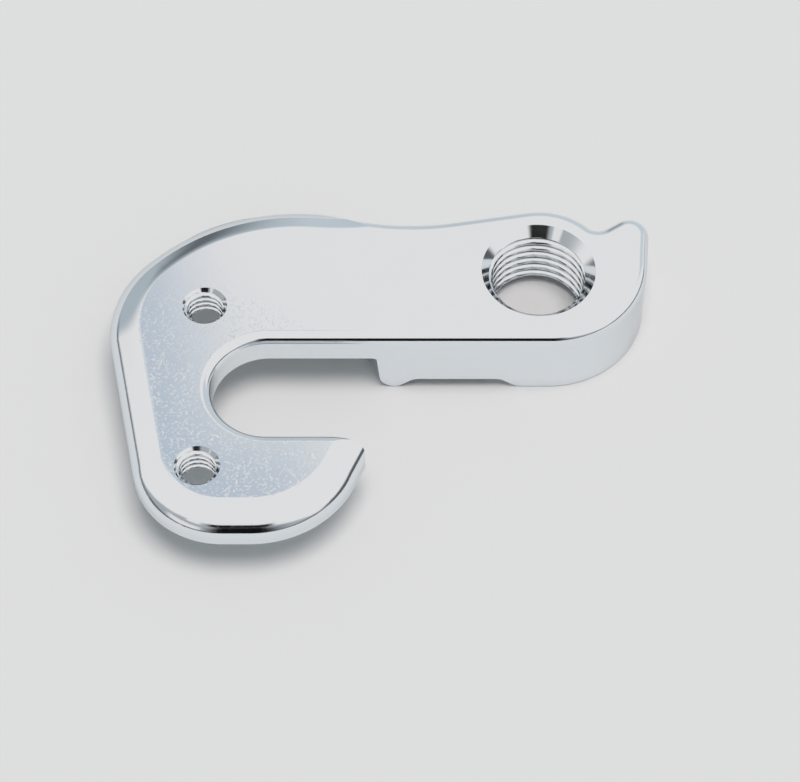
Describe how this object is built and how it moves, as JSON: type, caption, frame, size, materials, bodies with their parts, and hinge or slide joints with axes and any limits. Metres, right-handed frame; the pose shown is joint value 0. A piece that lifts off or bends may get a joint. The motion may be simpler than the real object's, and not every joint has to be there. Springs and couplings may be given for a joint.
{
  "type": "bicycle derailleur hanger",
  "caption": "Hook-shaped aluminium derailleur hanger: an open axle slot and tapped fixing holes in a thin plate, and a thicker arm with a countersunk tapped boss for the rear derailleur.",
  "frame": {"origin": "on the derailleur thread's axis, in the plane of the boss's lower face that rests on the table", "axes": "+X along the axle slot towards the thread, +Z out of the show face along the thread axis"},
  "size_m": [0.0521, 0.0374, 0.008],
  "materials": {
    "polished_aluminium": "bright tumbled and polished, fine scratches, machined countersinks and threads"
  },
  "bodies": {
    "root": {"hanger": "polished_aluminium"}
  },
  "joints": []
}
